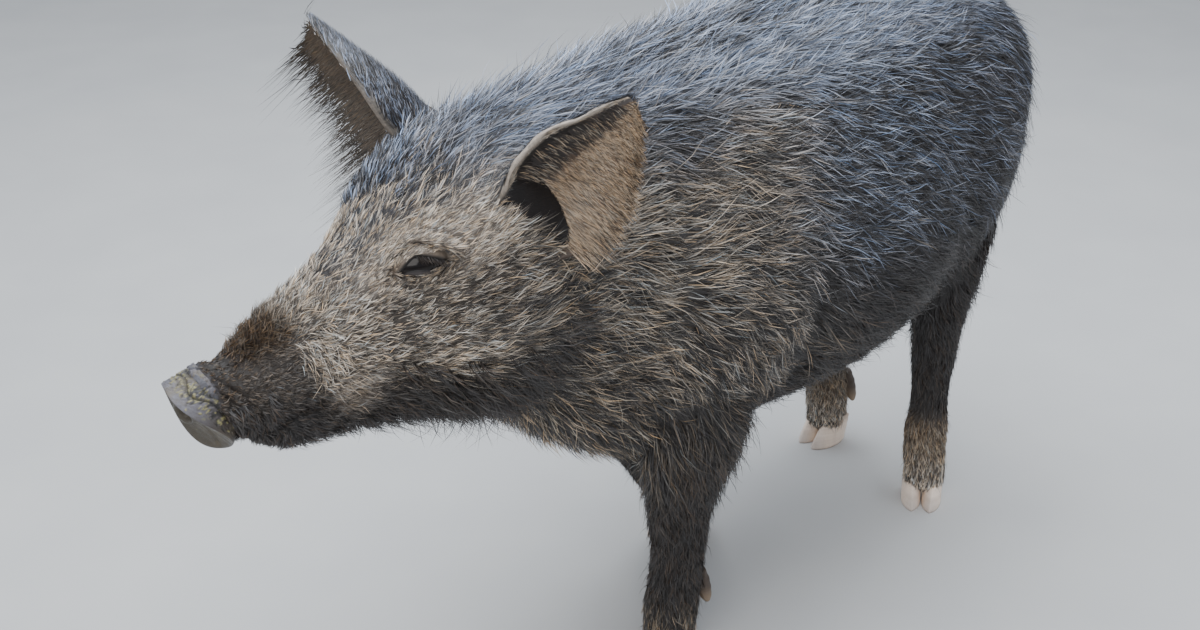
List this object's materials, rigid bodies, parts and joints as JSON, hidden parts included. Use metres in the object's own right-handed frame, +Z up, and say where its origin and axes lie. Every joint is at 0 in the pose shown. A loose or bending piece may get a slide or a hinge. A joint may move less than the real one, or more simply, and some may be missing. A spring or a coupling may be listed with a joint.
{
  "type": "pig",
  "caption": "Still, life-size young black pig standing in mid-step, head lowered, with a bristly back crest, pricked ears and cloven feet.",
  "frame": {"origin": "on the floor, under the middle of the bounding box", "axes": "+X is the way the pig faces, +Y its left side, +Z up"},
  "size_m": [1.0927, 0.3193, 0.6478],
  "materials": {
    "coat": "dense black bristle coat over dark skin, with grey and tan hair tips",
    "face": "short charcoal and brown-tan hair over dark skin",
    "ear": "dark haired outside, brown thinly haired inside with a pale rim",
    "snout": "bare, moist, grey-brown nose skin, slightly dirty",
    "eye": "wet, dark brown eye",
    "hoof": "dull cream horn with blue-grey toes",
    "dewclaw": "dull brown horn with paler tips"
  },
  "bodies": {
    "root": {"torso": "coat", "neck": "coat", "head": "face", "nose_disc": "snout", "ear_left": "ear", "ear_right": "ear", "eye_left": "eye", "eye_right": "eye", "tail": "coat", "fore_left_leg": "coat", "fore_right_leg": "coat", "hind_left_leg": "coat", "hind_right_leg": "coat", "fore_left_hoof_outer": "hoof", "fore_left_hoof_inner": "hoof", "fore_right_hoof_outer": "hoof", "fore_right_hoof_inner": "hoof", "hind_left_hoof_outer": "hoof", "hind_left_hoof_inner": "hoof", "hind_right_hoof_outer": "hoof", "hind_right_hoof_inner": "hoof", "fore_left_dewclaw_outer": "dewclaw", "fore_left_dewclaw_inner": "dewclaw", "fore_right_dewclaw_outer": "dewclaw", "fore_right_dewclaw_inner": "dewclaw", "hind_left_dewclaw_outer": "dewclaw", "hind_left_dewclaw_inner": "dewclaw", "hind_right_dewclaw_outer": "dewclaw", "hind_right_dewclaw_inner": "dewclaw"}
  },
  "joints": []
}
